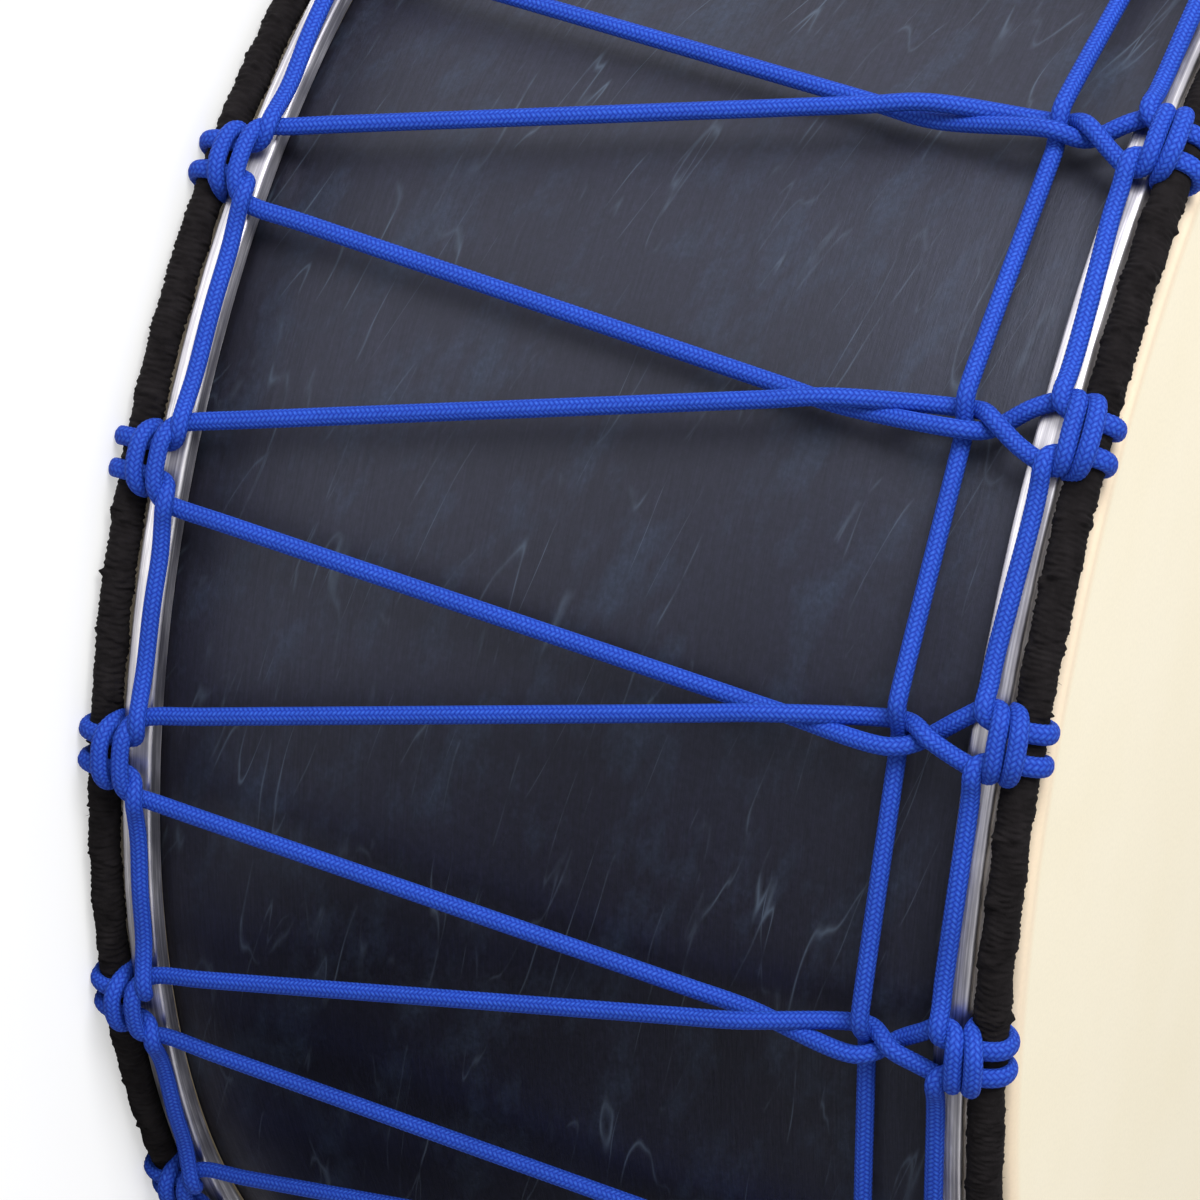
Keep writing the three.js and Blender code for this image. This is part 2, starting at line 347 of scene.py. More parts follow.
def rawhide():
    """Flat cream, with painted shade where the skin bends over the bearing edge: rosy, then grey, then
    dark toward the hem.
    """
    shader = Shader("rawhide")
    cloud = shader.grain((14, 14, 14), detail=4.0, roughness=0.6)
    pore = shader.grain((900, 900, 900))
    colour = shader.ramp(cloud, (0.3, SKIN_DARK), (0.7, SKIN_LIGHT))
    speckled = shader.mix(PORE_SHARE, colour, shader.ramp(pore, (0.35, 0.6), (0.6, 1.0)), "MULTIPLY")
    wander = shader.math("MULTIPLY", shader.math("SUBTRACT", cloud, 0.5), BEND_SHADE_WANDER * MM)
    reach = shader.math("ADD", shader.axis_distance(), wander)
    # Painted shade by distance from the axis: past the bearing edge the skin turns rosy, then grey,
    # then dark toward its hem under the wrap
    bend = shader.ramp(
        shader.math("DIVIDE", reach, SHELL_RADIUS * MM),
        (0.962, (1.0, 1.0, 1.0)),
        (0.972, (0.97, 0.91, 0.87)),
        (0.984, (0.92, 0.83, 0.79)),
        (0.991, (0.70, 0.65, 0.63)),
        (1.0, (0.34, 0.30, 0.24)),
    )
    return shader.finish(
        Base_Color=shader.mix(1.0, speckled, bend, "MULTIPLY"),
        Roughness=0.6,
        Specular_IOR_Level=0.3,
        Normal=shader.bump(pore, PORE_RELIEF, 0.4),
    )


STREAK_SHARE = 0.6
BRUSH_RELIEF = 0.05


def polished_steel():
    """Brushed along the rim, so that its lines follow the hoop on every face."""
    shader = Shader("polished_steel")
    place = shader.parts(shader.place())
    across = shader.math("ADD", place["Z"], shader.axis_distance())

    def brushed(cells_along, cells_across):
        brush = shader.add("CombineXYZ", {
            "X": shader.math("MULTIPLY", place["X"], cells_along),
            "Y": shader.math("MULTIPLY", place["Y"], cells_along),
            "Z": shader.math("MULTIPLY", across, cells_across),
        }).outputs[0]
        return shader.noise(brush, detail=3.0, roughness=0.6)

    streak = brushed(9.0, 1500.0)
    smear = brushed(45.0, 260.0)
    streaked = shader.math("MULTIPLY", streak, STREAK_SHARE)
    smeared = shader.math("MULTIPLY", smear, 1 - STREAK_SHARE)
    colour = shader.ramp(
        shader.math("ADD", streaked, smeared),
        (0.38, (0.29, 0.28, 0.32)),
        (0.52, (0.50, 0.485, 0.52)),
        (0.64, (0.84, 0.82, 0.84)),
    )
    tangent = shader.add("Tangent", direction_type="RADIAL", axis="Z").outputs["Tangent"]
    return shader.finish(
        Base_Color=colour,
        Metallic=1.0,
        Roughness=shader.ramp(smear, (0.3, 0.36), (0.75, 0.5)),
        Anisotropic=0.6,
        Anisotropic_Rotation=0.25,
        Tangent=tangent,
        Normal=shader.bump(streak, BRUSH_RELIEF, 0.5),
    )


def plain_steel():
    """Dull steel for the rods, which the cloth hides."""
    shader = Shader("plain_steel")
    streak = shader.grain((30, 30, 900), detail=3.0, roughness=0.6)
    return shader.finish(
        Base_Color=shader.ramp(streak, (0.3, (0.32, 0.32, 0.33)), (0.7, (0.52, 0.52, 0.53))),
        Metallic=1.0,
        Roughness=0.45,
    )


CLOTH_DARK = (0.0055, 0.0045, 0.005)
CLOTH_LIGHT = (0.014, 0.012, 0.013)
LINT_COLOUR = (0.05, 0.045, 0.045)
LINT_SHARE = 0.3
CLOTH_RELIEF = 0.3


def black_cloth():
    """Matt black cotton with a little grey lint on its threads."""
    shader = Shader("black_cloth")
    weave = shader.grain((1500, 1500, 1500), detail=3.0, roughness=0.65)
    fold = shader.grain((160, 160, 160), detail=3.0, roughness=0.6)
    colour = shader.ramp(fold, (0.3, CLOTH_DARK), (0.75, CLOTH_LIGHT))
    lint = shader.ramp(weave, (0.62, 0.0), (0.78, 1.0))
    return shader.finish(
        Base_Color=shader.mix(shader.math("MULTIPLY", lint, LINT_SHARE), colour, LINT_COLOUR),
        Roughness=1.0,
        Specular_IOR_Level=0.12,
        Normal=shader.bump(weave, CLOTH_RELIEF, 0.7),
    )


STITCH_RELIEF = 0.22
STRANDS_OVER = 2
STRAND_CYCLE = 2 * STRANDS_OVER
FUZZ_SHARE = 0.7
WEAR_SHARE = 0.35


def blue_braid():
    """Two sets of strands that cross two over and two under, in columns along the rope."""
    shader = Shader("blue_braid")
    place = shader.parts(shader.add("TexCoord").outputs["UV"])
    around = shader.math("MULTIPLY", place["X"], BRAID_COLUMNS)
    rising = shader.math("ADD", around, place["Y"])
    falling = shader.math("SUBTRACT", around, place["Y"])
    strand_up = shader.math("FLOOR", rising)
    strand_down = shader.math("FLOOR", falling)
    cycle = shader.math("FLOORED_MODULO", shader.math("ADD", strand_up, strand_down), STRAND_CYCLE)
    up_on_top = shader.math("LESS_THAN", cycle, STRANDS_OVER - 1 / 2)
    down_on_top = shader.math("SUBTRACT", 1.0, up_on_top)

    def stitch(across, along_own, along_other, start):
        """The height of one strand where it lies on top, rounded across and along."""
        rounded = shader.math("SINE", shader.math("MULTIPLY", shader.math("FRACT", across), math.pi))
        travel = shader.math("SUBTRACT", shader.math("ADD", along_own, along_other), start)
        cycled = shader.math("FLOORED_MODULO", travel, STRAND_CYCLE)
        angle = shader.math("MULTIPLY", cycled, TURN / STRAND_CYCLE)
        arched = shader.math("MAXIMUM", shader.math("SINE", angle), 0.0)
        full_across = shader.math("POWER", rounded, 0.6)
        full_along = shader.math("POWER", arched, 0.8)
        return shader.math("MULTIPLY", full_across, full_along)

    up = stitch(rising, strand_up, falling, 0)
    down = stitch(falling, strand_down, rising, STRANDS_OVER)
    shown_up = shader.math("MULTIPLY", up, up_on_top)
    shown_down = shader.math("MULTIPLY", down, down_on_top)
    height = shader.math("ADD", shown_up, shown_down)
    lint = shader.grain((1300, 1300, 1300), detail=2.0, roughness=0.6)
    fuzz = shader.math("MULTIPLY", shader.math("SUBTRACT", lint, 0.5), FUZZ_SHARE)
    # Painted shade and highlight: the blue is darker in the gaps between stitches and lighter on their
    # crowns, by their height
    stitch_shade_and_highlight = shader.ramp(
        shader.math("ADD", height, fuzz),
        (0.1, (0.006, 0.028, 0.30)),
        (0.5, (0.0145, 0.061, 0.425)),
        (0.85, (0.020, 0.078, 0.475)),
        (1.0, (0.033, 0.112, 0.55)),
    )
    wear = shader.grain((50, 50, 50))
    colour = shader.mix(WEAR_SHARE, stitch_shade_and_highlight, shader.ramp(wear, (0.3, 0.8), (0.7, 1.15)), "MULTIPLY")
    return shader.finish(
        Base_Color=colour,
        Roughness=0.75,
        Specular_IOR_Level=0.2,
        Normal=shader.bump(height, STITCH_RELIEF, 0.7),
    )


WOOD = stained_wood()
SKIN_HIDE = rawhide()
STEEL = polished_steel()
ROD_STEEL = plain_steel()
CLOTH = black_cloth()
BRAID = blue_braid()


# Shell and heads

BEARING_CENTRE = (SHELL_INNER_RADIUS + BEARING_INSET, HEAD_FACE_OUT - SKIN - CLEARANCE - BEARING_RADIUS)
BEARING_STEPS = 10


def bevel_angle():
    """Angle of the bevel's outward normal, where the bevel leaves the bearing edge's arc."""
    across = SHELL_RADIUS - BEARING_CENTRE[0]
    down = BEARING_CENTRE[1] - BEVEL_FOOT_OUT
    return math.acos(BEARING_RADIUS / math.hypot(across, down)) - math.atan2(down, across)


def bearing_edge(offset):
    """The rounded top of the shell, or a skin that lies so far off it."""
    return arc(BEARING_CENTRE, BEARING_RADIUS + offset, bevel_angle(), QUARTER, BEARING_STEPS)


def bevel_foot(offset):
    """The skin's soft bend at the bevel's foot, kept its thickness apart from the wood."""
    return [(SHELL_RADIUS + offset, BEVEL_FOOT_OUT + offset * math.tan(bevel_angle() / 2))]


def make_shell():
    """An open cylinder with a bevel and a rounded bearing edge at each end."""
    rim = [*bevel_foot(0), *bearing_edge(0), (SHELL_INNER_RADIUS, BEARING_CENTRE[1])]
    outline = at_end(rim, LOWER) + at_end(rim, UPPER)
    turned("stained_shell", outline, True, WOOD, "shell")


def make_head(end, name, node):
    """A skin from the drum's axis over the bearing edge and down to its hem inside the hoop."""
    inner = CLEARANCE
    outer = CLEARANCE + SKIN
    outline = [
        (0, HEAD_FACE_OUT - SKIN),
        *bearing_edge(inner)[::-1],
        *bevel_foot(inner),
        (SHELL_RADIUS + inner, -SKIN_HEM),
        (SHELL_RADIUS + outer, -SKIN_HEM),
        *bevel_foot(outer),
        *bearing_edge(outer),
        (0, HEAD_FACE_OUT),
    ]
    turned(name, at_end(outline, end), False, SKIN_HIDE, node)


# Hoops

HOOP_EDGE_STEPS = 6
CROWN = 0.25
CROWN_STEPS = 8


def make_hoop(end):
    """A hoop with rounded edges, whose outer face is slightly crowned."""
    inner = HOOP_INNER_RADIUS + HOOP_EDGE_RADIUS
    outer = HOOP_RADIUS - HOOP_EDGE_RADIUS - CROWN
    side = HOOP_HALF - HOOP_EDGE_RADIUS
    shares = [2 * step / CROWN_STEPS - 1 for step in range(1, CROWN_STEPS)]
    outline = [
        *arc((outer, -side), HOOP_EDGE_RADIUS, -QUARTER, 0, HOOP_EDGE_STEPS),
        *[(HOOP_RADIUS - CROWN * share ** 2, side * share) for share in shares],
        *arc((outer, side), HOOP_EDGE_RADIUS, 0, QUARTER, HOOP_EDGE_STEPS),
        *arc((inner, side), HOOP_EDGE_RADIUS, QUARTER, math.pi, HOOP_EDGE_STEPS),
        *arc((inner, -side), HOOP_EDGE_RADIUS, -math.pi, -QUARTER, HOOP_EDGE_STEPS),
    ]
    node = f"{end.name}_hoop"
    turned(f"{end.name}_brushed_hoop", at_end(outline, end), True, STEEL, node)


# Ring wraps: cloth strip wound slantwise round the rod, creased and frayed

WRAP_RUN_STEPS = 4880
WRAP_SIDE_STEPS = 28
RIDGES = 610
RIDGE_SLANT = {"upper": 9, "lower": 2}
RIDGE_HEIGHT = {"upper": 0.12, "lower": 0.26}
RIDGE_WANDER = 3
STRIP_TURNS = 101
STRIP_STEP = 0.5
STRIP_STEP_POWER = 6
STRIP_SUNK_SHARE = 0.2

# Waves on the cloth: how many, their least and most crests round the ring, most slant and height
Waves = namedtuple("Waves", "count fewest most slant height")
RAGGED = Waves(10, 40, 300, 2, 0.12)
CREASES = Waves(36, 400, 1300, 5, 0.03)
SWELLS = Waves(10, 8, 120, 2, 0.06)


def waves(around, across, kind):
    """A seamless sum of sine waves on the ring, with random directions."""
    total = 0
    for crests in rng.integers(kind.fewest, kind.most, kind.count):
        slant = rng.integers(-kind.slant, kind.slant + 1)
        phase = rng.uniform(0, TURN)
        total = total + kind.height * np.sin(crests * around + slant * across + phase)
    return total


# Tufts: ranges of their shift along the ring as a share of a turn of the strip, of their angle
# round the wrap, and of half their widths along the ring and round the wrap
TUFTS_PER_TURN = 7
TUFT_SHIFT_SHARES = (-0.08, 0.08)
TUFT_SIDES = (-0.8, 2.6)
TUFT_HALF_RUNS = (0.9, 2.2)
TUFT_HALF_SIDES = (0.12, 0.4)
TUFT_REACH_STEPS = 6
TUFT_HEIGHT = 1.7
TUFT_HEIGHT_SHARES = (0.1, 1.0)
TUFT_HEIGHT_POWER = 1.5


def tufts(around, across):
    """Short ragged points of cloth that stand up along the edges of the strip."""
    lift = np.zeros((around.size, across.size))
    column = TURN / around.size
    for tuft in range(TUFTS_PER_TURN * STRIP_TURNS):
        middle = (tuft // TUFTS_PER_TURN + rng.uniform(*TUFT_SHIFT_SHARES)) * TURN / STRIP_TURNS
        side = rng.uniform(*TUFT_SIDES)
        half_run = rng.uniform(*TUFT_HALF_RUNS) / RING_RADIUS
        half_side = rng.uniform(*TUFT_HALF_SIDES)
        height = TUFT_HEIGHT * rng.uniform(*TUFT_HEIGHT_SHARES) ** TUFT_HEIGHT_POWER
        near = np.arange(-TUFT_REACH_STEPS, TUFT_REACH_STEPS + 1) + int(middle / column)
        run_share = np.abs(near * column - middle)[:, None] / half_run
        side_share = np.abs(np.angle(np.exp(1j * (across - side)))) / half_side
        spike = np.maximum(1 - np.hypot(run_share, side_share), 0)
        lift[near % around.size] += height * spike
    return lift


# Threads: ranges of their angle round the wrap, of their lean along the ring and of their length
THREADS = 170
THREAD_SIDES = (-0.6, 2.4)
THREAD_LEANS = (-1, 1)
THREAD_LENGTHS = (0.9, 2.6)
THREAD_CURL = 0.35
THREAD_ROOT_DEPTH = 0.3
THREAD_RADIUS = 0.13
THREAD_STEPS = 5
THREAD_CORNERS = 3
THREAD_TWIST_SHARE = 0.1


def thread_points(end):
    """The corners of one loose end of yarn, a thin tapered rod that curls away from the wrap."""
    around = rng.uniform(0, TURN)
    side = rng.uniform(*THREAD_SIDES)
    outward = np.array([math.cos(around), math.sin(around), 0.0])
    run = np.array([-math.sin(around), math.cos(around), 0.0])
    axial = np.array([0.0, 0.0, end.direction])
    up = math.cos(side) * outward + math.sin(side) * axial
    ring_middle = RING_RADIUS * outward + np.array([0.0, 0.0, end.middle]) + RING_OUT * axial
    place = ring_middle + (WRAP_RADIUS[end.name] - THREAD_ROOT_DEPTH) * up
    heading = up + rng.uniform(*THREAD_LEANS) * run
    curl = rng.normal(0, THREAD_CURL, heading.size)
    length = rng.uniform(*THREAD_LENGTHS)
    points = []
    for step in range(THREAD_STEPS):
        heading = heading + curl
        heading /= np.linalg.norm(heading)
        first = np.cross(heading, run + THREAD_TWIST_SHARE * up)
        first /= np.linalg.norm(first)
        second = np.cross(heading, first)
        radius = THREAD_RADIUS * (1 - step / THREAD_STEPS)
        for angle in np.arange(THREAD_CORNERS) * TURN / THREAD_CORNERS:
            points.append(place + radius * (math.cos(angle) * first + math.sin(angle) * second))
        place = place + heading * length / THREAD_STEPS
    return points


def thread_faces(start):
    """The sides and both ends of a thread whose corners are numbered from start."""
    rings = start + np.arange(THREAD_STEPS * THREAD_CORNERS).reshape(THREAD_STEPS, THREAD_CORNERS)
    faces = [rings[0][::-1].tolist(), rings[-1].tolist()]
    for ring, next_ring in zip(rings[:-1], rings[1:]):
        quads = [ring, np.roll(ring, -1), np.roll(next_ring, -1), next_ring]
        faces += np.stack(quads, axis=-1).tolist()
    return faces


def make_wrap(end):
    """The wound cloth, with ridges, creases, tufts and threads. Across is the angle round it."""
    around = np.linspace(0, TURN, WRAP_RUN_STEPS, endpoint=False)[:, None]
    across = np.linspace(0, TURN, WRAP_SIDE_STEPS, endpoint=False)[None, :]
    ragged = waves(around, across, RAGGED)
    strip_share = np.mod(STRIP_TURNS * around + across + ragged, TURN) / TURN
    slanted = (RIDGES * around + RIDGE_SLANT[end.name] * across) / 2
    radius = WRAP_RADIUS[end.name] + STRIP_STEP * (strip_share ** STRIP_STEP_POWER - STRIP_SUNK_SHARE)
    radius = radius + RIDGE_HEIGHT[end.name] * np.abs(np.sin(slanted + RIDGE_WANDER * ragged))
    radius = radius + waves(around, across, CREASES)
    radius = radius + waves(around, across, SWELLS)
    radius = radius + tufts(around, across)
    reach = RING_RADIUS + radius * np.cos(across)
    out = RING_OUT + radius * np.sin(across)
    points = np.stack([
        reach * np.cos(around),
        reach * np.sin(around),
        end.middle + end.direction * out,
    ], axis=-1).reshape(-1, 3)
    faces = grid_faces(WRAP_RUN_STEPS, WRAP_SIDE_STEPS)
    if end.direction < 0:
        faces = [face[::-1] for face in faces]
    loose = []
    for _ in range(THREADS):
        faces += thread_faces(len(points) + len(loose))
        loose += thread_points(end)
    points = np.vstack([points, loose])
    make_piece(f"{end.name}_cloth_wrap", points, faces, CLOTH, f"{end.name}_ring_wrap")


# Ropes: closed routes of stations. A station is a place and a squeeze, which is the direction
# in which the rope is pressed times the share of its thickness that is lost.

ROPE_SIDES = 2 * BRAID_COLUMNS
CURVE_SAMPLES = 12
ROPE_SMOOTHINGS = 5
PRESSED_SHARE = 0.1
LEAST_SQUEEZE = 1e-9

# How each knot was pulled tight: its shift along the rim, the share of its usual length,
# its shift out and its legs' shift along the rim. The listed ones are in view.
Hand = namedtuple("Hand", "shift length_share out legs_shift")
EVEN_HAND = Hand(0, 1, 0, 0)
KNOT_HANDS = {
    "upper": {
        13: Hand(2.0, 0.96, 1.0, -1.2),
        14: Hand(1.5, 0.98, 3.0, 0.9),
        15: Hand(-2.9, 0.9, 1.2, 3.7),
        16: Hand(-1.9, 0.84, 0, 3.0),
        17: Hand(0, 1.0, -1.0, 2.0),
    },
    "lower": {
        13: Hand(-0.2, 1.0, -0.6, 0),
        14: Hand(2.2, 0.97, -0.6, 0),
        15: Hand(1.5, 1.0, 0, 0),
        16: Hand(-2.3, 0.9, 0, 0),
        17: Hand(-4.0, 1.0, 0.3, 0),
    },
}

# The rest vary about as much
HAND_RANGES = Hand((-2.2, 2.2), (0.88, 1.02), (-0.6, 1.4), (-1, 3))
for hands in KNOT_HANDS.values():
    for knot in range(KNOTS):
        drawn = Hand(*[rng.uniform(*limits) for limits in HAND_RANGES])
        hands.setdefault(knot, drawn)


def hand_of(end, knot):
    """How a knot was pulled tight. A place between two knots is even."""
    return KNOT_HANDS[end.name].get(knot, EVEN_HAND)


def station(end, knot, run, radius, out, squeeze=0.0, squeeze_angle=0.0):
    """A route's place by a knot, and the squeeze, whose angle is taken from outward toward the head."""
    hand = hand_of(end, knot)
    angle = knot * PITCH + end.shift + (run * hand.length_share + hand.shift) / HOOP_RADIUS
    outward = np.array([math.cos(angle), math.sin(angle), 0.0])
    axial = np.array([0.0, 0.0, end.direction])
    place = radius * outward + np.array([0.0, 0.0, end.middle]) + out * axial
    pressed = squeeze * (math.cos(squeeze_angle) * outward + math.sin(squeeze_angle) * axial)
    return np.concatenate([place, pressed])


def smooth_route(route):
    """A smooth closed curve through the stations, with two even steps to each pitch of the braid."""
    here = np.array(route)
    before = np.roll(here, 1, 0)
    after = np.roll(here, -1, 0)
    beyond = np.roll(here, -2, 0)

    def gap(first, second):
        return np.sqrt(np.linalg.norm((second - first)[:, :3], axis=1))[:, None]

    first = gap(before, here)
    middle = gap(here, after)
    last = gap(after, beyond)
    step = (after - here) / middle
    leave = middle * ((here - before) / first - (after - before) / (first + middle) + step)
    arrive = middle * (step - (beyond - here) / (middle + last) + (beyond - after) / last)
    share = np.linspace(0, 1, CURVE_SAMPLES, endpoint=False)[:, None, None]
    square = share ** 2
    cube = share ** 3
    curve = ((2 * cube - 3 * square + 1) * here + (cube - 2 * square + share) * leave
             + (3 * square - 2 * cube) * after + (cube - square) * arrive)
    curve = curve.transpose(1, 0, 2).reshape(-1, here.shape[1])
    closed = np.vstack([curve, curve[:1]])
    lengths = np.linalg.norm(np.diff(closed[:, :3], axis=0), axis=1)
    travelled = np.concatenate([[0], np.cumsum(lengths)])
    count = 2 * round(travelled[-1] / BRAID_PITCH)
    even = np.arange(count) * travelled[-1] / count
    stepped = np.stack([np.interp(even, travelled, column) for column in closed.T], axis=1)
    for _ in range(ROPE_SMOOTHINGS):
        stepped = (np.roll(stepped, 1, 0) + 2 * stepped + np.roll(stepped, -1, 0)) / 4
    return stepped


def carried_frames(places):
    """Directions square to the route, carried along it with little twist, that meet at its end."""
    tangents = np.roll(places, -1, 0) - np.roll(places, 1, 0)
    tangents /= np.linalg.norm(tangents, axis=1)[:, None]
    start = np.array([places[0][0], places[0][1], 0.0])
    normal = start - tangents[0] * np.dot(start, tangents[0])
    normals = [normal / np.linalg.norm(normal)]
    for tangent in [*tangents[1:], tangents[0]]:
        normal = normals[-1] - tangent * np.dot(normals[-1], tangent)
        normals.append(normal / np.linalg.norm(normal))
    side = np.cross(tangents[0], normals[0])
    leftover = math.atan2(np.dot(normals[-1], side), np.dot(normals[-1], normals[0]))
    turn = -leftover * np.arange(len(places)) / len(places)
    normals = np.array(normals[:-1])
    across = np.cross(tangents, normals)
    cosine = np.cos(turn)[:, None]
    sine = np.sin(turn)[:, None]
    return tangents, normals * cosine + across * sine, across * cosine - normals * sine


def squeezed(offsets, tangents, squeeze):
    """The rope's round made thinner along the squeeze and wider across it."""
    squeeze = squeeze - tangents * np.sum(squeeze * tangents, axis=1)[:, None]
    lost = np.linalg.norm(squeeze, axis=1)
    thin = squeeze / np.maximum(lost, LEAST_SQUEEZE)[:, None]
    wide = np.cross(tangents, thin)
    widening = 1 / np.sqrt(1 - lost) - 1
    along_thin = np.einsum("ijk,ik->ij", offsets, thin) * -lost[:, None]
    along_wide = np.einsum("ijk,ik->ij", offsets, wide) * widening[:, None]
    return offsets + along_thin[..., None] * thin[:, None] + along_wide[..., None] * wide[:, None]


def braid_map(count):
    """For each face's corners, the share of the way round the rope and the pitches along it."""
    row = np.arange(count)[:, None]
    side = np.arange(ROPE_SIDES)[None, :]
    near = row / 2
    far = (row + 1) / 2
    left = side / ROPE_SIDES
    right = (side + 1) / ROPE_SIDES
    corners = [(right, near), (right, far), (left, far), (left, near)]
    return np.stack([np.stack(np.broadcast_arrays(*corner), axis=-1) for corner in corners], axis=2)


def make_rope(name, node, route, lowest=None):
    """A braided rope. Its stitches stand out from its round, and lowest is a surface it rests on."""
    stepped = smooth_route(route)
    places = stepped[:, :3]
    tangents, normals, across = carried_frames(places)
    angles = np.arange(ROPE_SIDES) * TURN / ROPE_SIDES
    on_stitch = (np.arange(len(places))[:, None] + np.arange(ROPE_SIDES)[None, :]) % 2
    radius = ROPE_RADIUS + BRAID_RELIEF * (on_stitch - 1 / 2)
    offsets = radius[..., None] * (normals[:, None] * np.cos(angles)[None, :, None]
                                   + across[:, None] * np.sin(angles)[None, :, None])
    offsets = squeezed(offsets, tangents, stepped[:, 3:])
    points = (places[:, None] + offsets).reshape(-1, 3)
    if lowest is not None:
        points[:, 2] = np.maximum(points[:, 2], lowest)
    faces = [face[::-1] for face in grid_faces(len(places), ROPE_SIDES)]
    make_piece(name, points, faces, BRAID, node, braid_map(len(places)))


# Cradle ropes: run, lift off the hoop's face, and out

SPAN_OUT = {"upper": -1.6, "lower": -2.8}
HITCH_APPROACH = {
    "upper": [
        (24, 0, -1.8),
        (15.5, 1.8, -1.4),
        (10.6, 4.5, -1.0),
        (7.4, 4.2, -0.7),
        (5.3, 1.5, 3.6),
    ],
    "lower": [
        (26, 0, -2.8),
        (17.5, 2.2, -3.2),
        (12.4, 4.8, -4.1),
        (9.0, 4.5, -4.0),
        (5.9, 1.4, -1.6),
        (5.0, 0.9, 4.4),
    ],
}
HITCH_BAR = {
    "upper": [
        (9.6, 0.6, 7.1),
        (8.4, 4.2, 9.2),
        (4.8, 6.9, 10.5),
        (0, 7.2, 10.7),
    ],
    "lower": [
        (9.0, 0.8, 5.9),
        (8.0, 3.8, 6.3),
        (4.6, 6.0, 6.7),
        (0, 6.5, 6.8),
    ],
}

# Run, corner of the ring from its outer side toward the head, reach from the ring's middle,
# and the share of the rope's thickness that is lost
RING_SIDES = 6
RING_TURN = [
    (4.8, 0, 6.2, 0.2),
    (4.8, 1, 6.2, 0.2),
    (5.0, 2, 6.2, 0.2),
    (6.0, 3, 6.2, 0.2),
    (7.6, 4, 5.3, 0.44),
    (8.8, 5, 5.3, 0.44),
]


def on_face(end, knot, way, points):
    """Stations given by run, lift off the hoop's face and out, where the rope is pressed down."""
    pulled_out = hand_of(end, knot).out
    return [station(end, knot, way * run, ON_HOOP + lift, out + pulled_out, PRESSED_SHARE)
            for run, lift, out in points]


def on_ring(end, knot, way, points):
    """Stations on the wrapped ring, where the rope is squeezed between the ring and the hoop."""
    route = []
    for run, corner, reach, lost in points:
        angle = corner * TURN / RING_SIDES
        radius = RING_RADIUS + reach * math.cos(angle)
        out = RING_OUT + reach * math.sin(angle)
        route.append(station(end, knot, way * run, radius, out, lost, angle))
    return route


def hitch_half(end, knot, way):
    """Half of a hitch, from the hoop to the middle of the bar. The other half mirrors it."""
    return (on_face(end, knot, way, HITCH_APPROACH[end.name])
            + on_ring(end, knot, way, RING_TURN)
            + on_face(end, knot, way, HITCH_BAR[end.name]))


def cradle_route(end):
    """From hitch to hitch round the hoop, each span as far out as the hitches at its ends."""
    route = []
    for knot in range(KNOTS):
        pulled_out = (hand_of(end, knot).out + hand_of(end, (knot - 1) % KNOTS).out) / 2
        route += on_face(end, knot - 1 / 2, 1, [(0, 0, SPAN_OUT[end.name] + pulled_out)])
        route += hitch_half(end, knot, -1)
        route += hitch_half(end, knot, 1)[-2::-1]
    return route


# Lacing rope: a zigzag from end to end, with a short bar over the cradle rope at each knot

LACING_BAR = {
    "upper": [
        (9.0, 0.1, -1.6),
        (9.6, 2.4, 3.0),
        (7.0, 5.8, 4.6),
        (0, 6.6, 4.8),
    ],
    "lower": [
        (12.4, 0, -4.4),
        (11.2, 2.2, -1.8),
        (7.4, 5.4, -0.4),
        (0, 6.2, 0),
    ],
}

# The last value is a fall along the rim that both legs share
CROSSED_LEG = [
    (5.6, 1.0, -6.5, 0),
    (0, 2.9, -14.5, 0),
    (-2.4, 0.6, -18, 0),
    (-3.7, -3.2, -WEAVE_INSET, 0),
    (0, 4, -60, 1.8),
]
STRAIGHT_SHARE = 0.1


def lacing_knot(end, knot):
    """The bar over the cradle rope at a knot, from one leg to the next."""
    points = LACING_BAR[end.name]
    return on_face(end, knot, -1, points) + on_face(end, knot, 1, points)[-2::-1]


def lacing_route():
    """From lower knot to upper knot and back. A station near each end of a leg keeps it straight."""
    def leg(knot, way):
        legs_shift = hand_of(UPPER, knot).legs_shift
        route = []
        for run, lift, out, fall in CROSSED_LEG:
            moved = fall + legs_shift * min(1, -out / WEAVE_INSET)
            route.append(station(UPPER, knot, way * run + moved, ON_HOOP + way * lift, out))
        return route

    route = []
    for knot in range(KNOTS):
        before = lacing_knot(LOWER, (knot - 1) % KNOTS)[-1]
        after = lacing_knot(LOWER, knot)
        arriving = leg(knot, -1)[::-1]
        leaving = leg(knot, 1)
        rising = arriving[0] - before
        falling = after[0] - leaving[-1]
        route += [before + STRAIGHT_SHARE * rising, arriving[0] - STRAIGHT_SHARE * rising]
        route += arriving + lacing_knot(UPPER, knot) + leaving
        route += [leaving[-1] + STRAIGHT_SHARE * falling, after[0] - STRAIGHT_SHARE * falling]
        route += after
    return route


# Weave rope: round the drum, over one leg of each pair and under the other

WEAVE_PASS = [
    (-6, 3.4),
    (-4.2, 3.3),
    (4.2, -3.3),
    (6, -3.4),
]


def weave_route():
    """Past each knot in turn, straight from one to the next."""
    return [station(UPPER, knot, run, ON_HOOP + lift, -WEAVE_INSET)
            for knot in range(KNOTS) for run, lift in WEAVE_PASS]


make_shell()
make_head(UPPER, "playing_skin", "playing_head")
make_head(LOWER, "back_skin", "back_head")
for end in (UPPER, LOWER):
    make_hoop(end)
    make_wrap(end)
    make_rope(f"{end.name}_cradle_braid", f"{end.name}_cradle_rope", cradle_route(end), lowest=0)
    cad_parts[f"{end.name}_ring_rod"].data.materials.clear()
    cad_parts[f"{end.name}_ring_rod"].data.materials.append(ROD_STEEL)
make_rope("lacing_braid", "lacing_rope", lacing_route())
make_rope("weave_braid", "weave_rope", weave_route())


# Camera, with places in metres: the drum's axis runs from left to right in the picture

